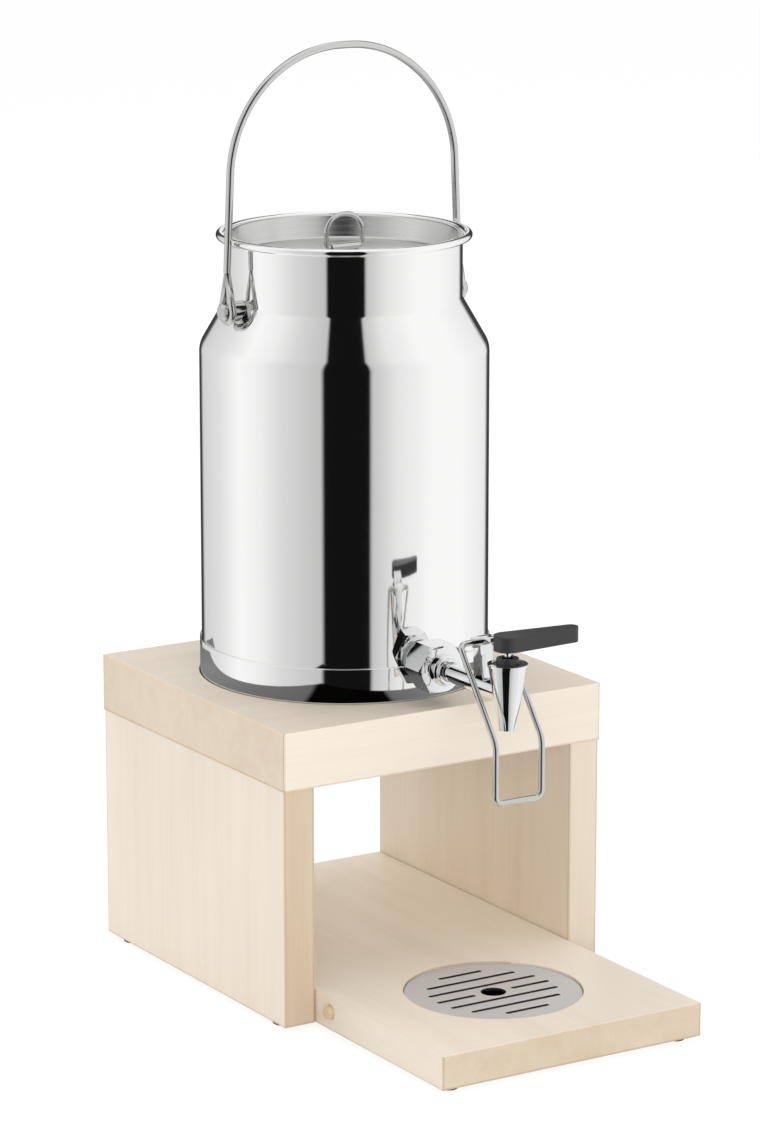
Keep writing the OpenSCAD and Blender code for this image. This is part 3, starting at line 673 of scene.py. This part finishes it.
def wire_tree():
    """Geometry nodes that give a path the thickness of a wire."""
    if "Bent wire" in bpy.data.node_groups:
        return bpy.data.node_groups["Bent wire"]
    tree = bpy.data.node_groups.new("Bent wire", "GeometryNodeTree")
    face = tree.interface
    face.new_socket("Path", in_out="INPUT", socket_type="NodeSocketGeometry")
    face.new_socket("Wire radius", in_out="INPUT", socket_type="NodeSocketFloat")
    face.new_socket("Sides", in_out="INPUT", socket_type="NodeSocketInt")
    face.new_socket("Finish", in_out="INPUT", socket_type="NodeSocketMaterial")
    face.new_socket("Wire", in_out="OUTPUT", socket_type="NodeSocketGeometry")
    nodes, links = tree.nodes, tree.links
    start, end = nodes.new("NodeGroupInput"), nodes.new("NodeGroupOutput")
    curve = nodes.new("GeometryNodeMeshToCurve")
    profile = nodes.new("GeometryNodeCurvePrimitiveCircle")
    sweep = nodes.new("GeometryNodeCurveToMesh")
    smooth = nodes.new("GeometryNodeSetShadeSmooth")
    real = nodes.new("GeometryNodeRealizeInstances")
    finish = nodes.new("GeometryNodeSetMaterial")
    sweep.inputs["Fill Caps"].default_value = True
    links.new(start.outputs["Path"], curve.inputs["Mesh"])
    links.new(start.outputs["Wire radius"], profile.inputs["Radius"])
    links.new(start.outputs["Sides"], profile.inputs["Resolution"])
    links.new(curve.outputs["Curve"], sweep.inputs["Curve"])
    links.new(profile.outputs["Curve"], sweep.inputs["Profile Curve"])
    links.new(sweep.outputs["Mesh"], smooth.inputs["Geometry"])
    links.new(smooth.outputs["Geometry"], real.inputs["Geometry"])
    links.new(real.outputs["Geometry"], finish.inputs["Geometry"])
    links.new(start.outputs["Finish"], finish.inputs["Material"])
    links.new(finish.outputs["Geometry"], end.inputs["Wire"])
    return tree


def wire(name, paths, diameter, material):
    """A piece of bent wire along paths, each a list of points and whether it is closed."""
    points, edges = [], []
    for path, closed in paths:
        first = len(points)
        points += [tuple(p) for p in path]
        edges += [(first + k, first + k + 1) for k in range(len(path) - 1)]
        if closed:
            edges.append((first + len(path) - 1, first))
    mesh = bpy.data.meshes.new(name)
    mesh.from_pydata(points, edges, [])
    piece = new_object(name, mesh, material)
    tree = wire_tree()
    keys = {item.name: item.identifier for item in tree.interface.items_tree if item.in_out == "INPUT"}
    modifier = piece.modifiers.new("Wire", "NODES")
    modifier.node_group = tree
    modifier[keys["Wire radius"]] = diameter / 2
    modifier[keys["Sides"]] = bpy.context.scene.dispenser_sizes.wire_sides
    modifier[keys["Finish"]] = finishes()[material]
    return settle(piece)


class DISPENSER_OT_wood(bpy.types.Operator):
    """Dress the wooden bridge, the drip board and their pegs"""

    bl_idname = "dispenser.wood"
    bl_label = "Wood"

    def execute(self, context):
        edge = context.scene.dispenser_sizes.wood_edge
        eased("top_plate", edge, "maple plate")
        eased("left_panel", edge, "maple left panel")
        eased("right_panel", edge, "maple right panel")
        eased("drip_board", edge, "maple board")
        eased("stop_pegs", edge / 2, "peg wood")
        carry("panel_dowels", "peg wood")
        return {"FINISHED"}


class DISPENSER_OT_feet(bpy.types.Operator):
    """Dress the black feet"""

    bl_idname = "dispenser.feet"
    bl_label = "Feet"

    def execute(self, context):
        edge = context.scene.dispenser_sizes.foot_edge
        eased("panel_feet", edge, "foot rubber")
        eased("board_feet", edge, "foot rubber")
        return {"FINISHED"}


class DISPENSER_OT_can(bpy.types.Operator):
    """Make the polished can and its base ring as finely turned pieces"""

    bl_idname = "dispenser.can"
    bl_label = "Can"

    def execute(self, context):
        sizes = context.scene.dispenser_sizes
        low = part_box("can_body")[0]
        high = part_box("can_neck")[1]
        axis_y = middle("can_body").y
        can_r = axis_y - low.y
        sheet, bead = sizes.sheet, sizes.bead
        neck_z = high.z - sizes.neck_height
        shoulder_z = neck_z - sizes.shoulder_height
        ledge_z = high.z - bead / 2
        bead_r = sizes.rim_radius - bead / 2
        roll = [
            (bead_r + bead / 2 * math.cos(a), ledge_z + bead / 2 * math.sin(a))
            for a in map(math.radians, ROLL_DEGREES)
        ]
        corners = [
            (0, low.z), (can_r, low.z), (can_r, shoulder_z), (sizes.neck_radius, neck_z),
            (sizes.neck_radius, ledge_z - sheet),
        ]
        inner = [
            (0, low.z + sheet), (can_r - sheet, low.z + sheet), (can_r - sheet, shoulder_z),
            (sizes.neck_radius - sheet, neck_z), (sizes.neck_radius - sheet, ledge_z),
        ]
        radii = [0, sizes.floor_bend, sizes.shoulder_bend, sizes.neck_bend, 0]
        outline = rounded(corners, radii) + roll + rounded(inner, radii)[::-1]
        mesh = turned_mesh("can", outline, axis_y, sizes.turn_steps)
        stand_for(new_object("turned_can", mesh, "polished steel"), "can_body", "can_neck")

        low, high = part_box("can_skirt")
        ring_r = (high.x - low.x) / 2
        edge = sizes.sheet_edge
        outline = rounded(
            [(ring_r - sheet, low.z), (ring_r, low.z), (ring_r, high.z), (ring_r - sheet, high.z)],
            [edge, edge, 2 * edge, edge], steps=4,
        )
        mesh = turned_mesh("base ring", outline, axis_y, sizes.turn_steps)
        stand_for(new_object("turned_base_ring", mesh, "polished steel"), "can_skirt")
        eased("left_ear", sizes.metal_edge, "polished wire")
        eased("right_ear", sizes.metal_edge, "polished wire")
        return {"FINISHED"}


class DISPENSER_OT_bail(bpy.types.Operator):
    """Bend the carrying bail with its two eyes"""

    bl_idname = "dispenser.bail"
    bl_label = "Bail"

    def eye(self, x, axis_y, pivot_z, sizes):
        """Path of one drop-shaped eye round its stud, from the top and back."""
        half = math.acos(sizes.eye_radius / sizes.eye_height)
        side = []
        for k in range(EYE_STEPS + 1):
            angle = half + (math.pi - half) * k / EYE_STEPS
            side.append((sizes.eye_radius * math.sin(angle), sizes.eye_radius * math.cos(angle)))
        path = [(0, sizes.eye_height)] + side + [(-y, z) for y, z in side[-2::-1]]
        return [Vector((x, axis_y + y, pivot_z + z)) for y, z in path]

    def execute(self, context):
        sizes = context.scene.dispenser_sizes
        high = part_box("bail_handle")[1]
        axis_y = middle("can_body").y
        pivot_z = middle("left_ear").z
        eye_x = high.x - (sizes.bail_wire + sizes.weld) / 2
        apex_z = high.z - sizes.bail_wire / 2
        tip_z = pivot_z + sizes.eye_height
        corner_x = eye_x - (apex_z - tip_z) * math.tan(sizes.bail_splay)
        bend = (corner_x - sizes.bail_flat / 2) / math.tan((math.pi / 2 - sizes.bail_splay) / 2)
        arch = rounded(
            [
                (-eye_x, axis_y, tip_z), (-corner_x, axis_y, apex_z),
                (corner_x, axis_y, apex_z), (eye_x, axis_y, tip_z),
            ],
            [0, bend, bend, 0], steps=40,
        )
        paths = [(arch, False)]
        paths += [(self.eye(side * eye_x, axis_y, pivot_z, sizes), True) for side in (-1, 1)]
        stand_for(wire("bail_wire", paths, sizes.bail_wire, "polished wire"), "bail_handle")
        return {"FINISHED"}


class DISPENSER_OT_lid(bpy.types.Operator):
    """Make the dished lid, its strap and its loop"""

    bl_idname = "dispenser.lid"
    bl_label = "Lid"

    def execute(self, context):
        sizes = context.scene.dispenser_sizes
        low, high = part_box("lid")
        axis_y = (low.y + high.y) / 2
        sheet = sizes.sheet
        low_z = low.z + sheet
        disc_z = low_z + sizes.disc_rise
        low_r = sizes.dish_radius - sizes.dish_draw
        step_r = sizes.disc_radius + sizes.disc_rise
        flange_r = (high.x - low.x) / 2
        top = [
            (0, disc_z), (sizes.disc_radius, disc_z), (step_r, low_z), (low_r - sheet, low_z),
            (sizes.dish_radius - sheet, high.z), (flange_r, high.z),
        ]
        under = [
            (0, disc_z - sheet), (sizes.disc_radius - sheet, disc_z - sheet), (step_r - sheet, low.z),
            (low_r, low.z), (sizes.dish_radius, high.z - sheet), (flange_r, high.z - sheet),
        ]
        radii = [0, sizes.disc_bend, sizes.disc_bend, sizes.dish_bend, sizes.flange_bend, 0]
        outline = rounded(top, radii, steps=5) + rounded(under, radii, steps=5)[::-1]
        mesh = turned_mesh("lid", outline, axis_y, sizes.turn_steps)
        stand_for(new_object("turned_lid", mesh, "turned lid steel"), "lid")
        eased("loop_strap", sizes.sheet_edge, "polished wire")

        low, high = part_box("lid_loop")
        wire_r = sizes.loop_wire / 2
        x = high.x - wire_r - WIRE_INSET
        z0, z1 = low.z + wire_r + WIRE_INSET, high.z - wire_r
        path = rounded(
            [(-x, axis_y, z0), (x, axis_y, z0), (x, axis_y, z1), (-x, axis_y, z1)],
            [sizes.loop_bend, sizes.loop_bend, x - sizes.loop_flat, x - sizes.loop_flat], steps=20,
        )
        stand_for(wire("loop_wire", [(path, True)], sizes.loop_wire, "polished wire"), "lid_loop")
        return {"FINISHED"}


class DISPENSER_OT_drip(bpy.types.Operator):
    """Dress the drip tray and its slotted grid"""

    bl_idname = "dispenser.drip"
    bl_label = "Drip tray and grid"

    def execute(self, context):
        edge = context.scene.dispenser_sizes.sheet_edge
        eased("drip_tray", edge, "turned tray steel", segments=2)
        eased("drip_grid", edge, "brushed grid steel", segments=2)
        return {"FINISHED"}


class DISPENSER_OT_tap(bpy.types.Operator):
    """Dress the tap's body, nuts, washers and seals"""

    bl_idname = "dispenser.tap"
    bl_label = "Tap"

    def execute(self, context):
        edge = context.scene.dispenser_sizes.metal_edge
        for node in ("tap_body", "flange_washer", "hex_nut", "shank_collar", "lock_nut"):
            eased(node, edge, "tap chrome")
        for node in ("outer_seal", "inner_seal"):
            carry(node, "seal silicone")
        return {"FINISHED"}


class DISPENSER_OT_valve(bpy.types.Operator):
    """Dress the valve inside the spout"""

    bl_idname = "dispenser.valve"
    bl_label = "Valve"

    def execute(self, context):
        carry("valve_stem", "tap chrome")
        carry("return_spring", "polished wire")
        carry("poppet", "seal silicone")
        carry("stem_seal", "seal silicone")
        return {"FINISHED"}


class DISPENSER_OT_lever(bpy.types.Operator):
    """Dress the lever and bend the cup frame that turns with it"""

    bl_idname = "dispenser.lever"
    bl_label = "Lever and cup frame"

    def execute(self, context):
        sizes = context.scene.dispenser_sizes
        eased("lever_handle", sizes.lever_edge, "black plastic", segments=6)
        eased("bonnet", sizes.sheet_edge, "black plastic")
        eased("rocker_heel", sizes.metal_edge, "tap chrome")
        carry("lever_pin", "tap chrome")
        low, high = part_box("cup_frame")
        r = sizes.frame_wire / 2 + WIRE_INSET
        x, front, back = high.x - r, low.y + r, high.y - r
        bottom, top = low.z + r, high.z - r
        path = rounded(
            [(-x, front, bottom), (x, front, bottom), (x, front, sizes.knee_height), (x, back, top),
             (-x, back, top), (-x, front, sizes.knee_height)],
            [sizes.frame_bend, sizes.frame_bend, sizes.knee_bend,
             sizes.frame_bend, sizes.frame_bend, sizes.knee_bend], steps=14,
        )
        stand_for(wire("frame_wire", [(path, True)], sizes.frame_wire, "polished wire"), "cup_frame")
        return {"FINISHED"}


class DISPENSER_OT_stage(bpy.types.Operator):
    """Set up the floor, the soft lights, the tent that mirrors see and the camera"""

    bl_idname = "dispenser.stage"
    bl_label = "Stage"

    def seen_directly(self, tree):
        """Factor that is 1 for what the camera, a mirror or glass sees."""
        path = tree.nodes.new("ShaderNodeLightPath")
        total = path.outputs["Is Camera Ray"]
        for name in ("Is Glossy Ray", "Is Transmission Ray"):
            both = tree.nodes.new("ShaderNodeMath")
            both.operation = "MAXIMUM"
            tree.links.new(total, both.inputs[0])
            tree.links.new(path.outputs[name], both.inputs[1])
            total = both.outputs[0]
        return total

    def sky(self, stage):
        """Soft light from all round, which shows as white."""
        world = bpy.data.worlds.new("Studio")
        bpy.context.scene.world = world
        world.use_nodes = True
        tree = world.node_tree
        light = tree.nodes["Background"]
        white = tree.nodes.new("ShaderNodeBackground")
        light.inputs["Color"].default_value = (1, 1, 1, 1)
        light.inputs["Strength"].default_value = stage.sky
        white.inputs["Color"].default_value = (1, 1, 1, 1)
        white.inputs["Strength"].default_value = 1.0
        mix = tree.nodes.new("ShaderNodeMixShader")
        tree.links.new(self.seen_directly(tree), mix.inputs[0])
        tree.links.new(light.outputs[0], mix.inputs[1])
        tree.links.new(white.outputs[0], mix.inputs[2])
        tree.links.new(mix.outputs[0], tree.nodes["World Output"].inputs["Surface"])

    def floor(self, stage):
        """A pale floor that shows nearly white and still takes a soft shadow."""
        shader = Shader("pale floor")
        tree = shader.tree
        paper = tree.nodes.new("ShaderNodeBsdfDiffuse")
        paper.inputs["Color"].default_value = (*stage.floor, 1)
        glow = tree.nodes.new("ShaderNodeEmission")
        mix = tree.nodes.new("ShaderNodeMixShader")
        share = tree.nodes.new("ShaderNodeMath")
        share.operation = "MULTIPLY"
        share.inputs[1].default_value = FLOOR_SHARE
        glow.inputs["Strength"].default_value = FLOOR_GLOW
        tree.links.new(self.seen_directly(tree), share.inputs[0])
        tree.links.new(share.outputs[0], mix.inputs[0])
        tree.links.new(paper.outputs[0], mix.inputs[1])
        tree.links.new(glow.outputs[0], mix.inputs[2])
        tree.links.new(mix.outputs[0], shader.output.inputs["Surface"])
        far = FLOOR_REACH
        self.sheet("floor", [(-far, -far, 0), (far, -far, 0), (far, far, 0), (-far, far, 0)], shader.material)

    def sheet(self, name, corners, material, faces=((0, 1, 2, 3),)):
        """A piece of the stage from corners and faces."""
        mesh = bpy.data.meshes.new(name)
        mesh.from_pydata(corners, [], faces)
        mesh.materials.append(material)
        piece = bpy.data.objects.new(name, mesh)
        bpy.context.scene.collection.objects.link(piece)
        return piece

    def mirrors_only(self, piece):
        """Lets nothing but mirrors see a piece of the stage."""
        piece.visible_camera = False
        piece.visible_diffuse = False
        piece.visible_shadow = False
        piece.visible_transmission = False

    def ring(self, name, inner, outer, low, high, material):
        """A round strip from an inner radius at one height to outer ones, one per step, at another."""
        steps = len(outer)
        turns = [math.tau * k / steps for k in range(steps)]
        corners = [(inner * math.cos(a), inner * math.sin(a), low) for a in turns]
        corners += [(r * math.cos(a), r * math.sin(a), high) for a, r in zip(turns, outer)]
        faces = [(k, (k + 1) % steps, (k + 1) % steps + steps, k + steps) for k in range(steps)]
        piece = self.sheet(name, corners, material, faces)
        self.mirrors_only(piece)
        return piece

    def screen(self, name, share):
        """Light for the mirrors: bright sides, a black band in front and dark edges behind."""
        shader = Shader(name)
        place = shader.coordinates()
        x, y = shader.axis(place, "X"), shader.axis(place, "Y")
        turn = x.maths("ARCTAN2", x, y * -1.0) / math.tau + 0.5
        stops = [(degrees / 360 + 0.5, level) for degrees, level in SCREEN_LEVELS]
        light = shader.node("ShaderNodeValToRGB", {"stops": stops}, {0: turn})
        glow = shader.node("ShaderNodeEmission", inputs={"Color": shader.mix(share, (0, 0, 0), light)})
        shader.tree.links.new(glow.socket, shader.output.inputs["Surface"])
        return shader.material

    def tent(self, stage, axis):
        """A round screen, its floor and a dim card on the plate, all for mirrors alone."""
        bright, dim = self.screen("tent screen", 1.0), self.screen("dim card", CARD_SHARE)
        near, far = (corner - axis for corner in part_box("top_plate"))
        base = far.z + CARD_RISE
        plate = []
        for k in range(SCREEN_STEPS):
            turn = math.tau * k / SCREEN_STEPS + stage.azimuth
            across, along = math.cos(turn), math.sin(turn)
            plate.append(min(
                (far.x if across > 0 else near.x) / (across or TINY),
                (far.y if along > 0 else near.y) / (along or TINY),
            ))
        wall = [SCREEN_RADIUS] * SCREEN_STEPS
        for name, inner, outer, low, high, material in (
            ("tent wall", SCREEN_RADIUS, wall, SCREEN_LOW, SCREEN_HIGH, bright),
            ("tent floor", SCREEN_FLOOR, wall, SCREEN_LOW, SCREEN_LOW, bright),
            ("foot card", CARD_RADIUS, plate, base, base, dim),
        ):
            piece = self.ring(name, inner, outer, low, high, material)
            piece.location = axis
            piece.rotation_euler.z = stage.azimuth

    def lamp(self, name, power, size, place):
        """A square lamp that mirrors don't see."""
        data = bpy.data.lights.new(name, "AREA")
        data.energy = power
        data.shape = "SQUARE"
        data.size = size
        lamp = bpy.data.objects.new(name, data)
        lamp.visible_glossy = False
        lamp.location = place
        lamp.rotation_mode = "QUATERNION"
        lamp.rotation_quaternion = (Vector(LOOK_AT) - Vector(place)).to_track_quat("-Z", "Y")
        bpy.context.scene.collection.objects.link(lamp)

    def camera(self, stage):
        """The camera of the reference view."""
        data = bpy.data.cameras.new("Camera")
        data.lens = stage.lens
        data.sensor_width = SENSOR_WIDTH
        camera = bpy.data.objects.new("Camera", data)
        back = Vector((
            math.sin(stage.azimuth) * math.cos(stage.elevation),
            -math.cos(stage.azimuth) * math.cos(stage.elevation),
            math.sin(stage.elevation),
        ))
        camera.location = Vector(stage.target) + back * stage.distance
        camera.rotation_mode = "QUATERNION"
        camera.rotation_quaternion = (-back).to_track_quat("-Z", "Y")
        bpy.context.scene.collection.objects.link(camera)
        bpy.context.scene.camera = camera

    def execute(self, context):
        stage = context.scene.dispenser_stage
        context.scene.view_settings.view_transform = "Standard"
        self.sky(stage)
        self.floor(stage)
        self.tent(stage, Vector((0, middle("can_body").y, 0)))
        self.lamp("Key", stage.key, LAMP_SIZE, KEY_PLACE)
        self.lamp("Top", stage.top, TOP_SIZE, TOP_PLACE)
        self.lamp("Back", stage.back, LAMP_SIZE, BACK_PLACE)
        self.camera(stage)
        return {"FINISHED"}


class DISPENSER_PT_panel(bpy.types.Panel):
    """Lists the steps that dress the dispenser"""

    bl_idname = "DISPENSER_PT_panel"
    bl_label = "Milk dispenser"
    bl_space_type = "VIEW_3D"
    bl_region_type = "UI"
    bl_category = "Dispenser"

    def draw(self, context):
        for operator in STEPS:
            self.layout.operator(operator.bl_idname)


STEPS = (
    DISPENSER_OT_wood,
    DISPENSER_OT_feet,
    DISPENSER_OT_can,
    DISPENSER_OT_bail,
    DISPENSER_OT_lid,
    DISPENSER_OT_drip,
    DISPENSER_OT_tap,
    DISPENSER_OT_valve,
    DISPENSER_OT_lever,
    DISPENSER_OT_stage,
)
CLASSES = (DispenserSizes, DispenserColours, DispenserStage, *STEPS, DISPENSER_PT_panel)


def register():
    for item in CLASSES:
        bpy.utils.register_class(item)
    bpy.types.Scene.dispenser_sizes = PointerProperty(type=DispenserSizes)
    bpy.types.Scene.dispenser_colours = PointerProperty(type=DispenserColours)
    bpy.types.Scene.dispenser_stage = PointerProperty(type=DispenserStage)


def unregister():
    del bpy.types.Scene.dispenser_stage
    del bpy.types.Scene.dispenser_colours
    del bpy.types.Scene.dispenser_sizes
    for item in reversed(CLASSES):
        bpy.utils.unregister_class(item)


def main():
    register()
    bpy.ops.dispenser.wood()
    bpy.ops.dispenser.feet()
    bpy.ops.dispenser.can()
    bpy.ops.dispenser.bail()
    bpy.ops.dispenser.lid()
    bpy.ops.dispenser.drip()
    bpy.ops.dispenser.tap()
    bpy.ops.dispenser.valve()
    bpy.ops.dispenser.lever()
    bpy.ops.dispenser.stage()


if __name__ == "__main__":
    main()
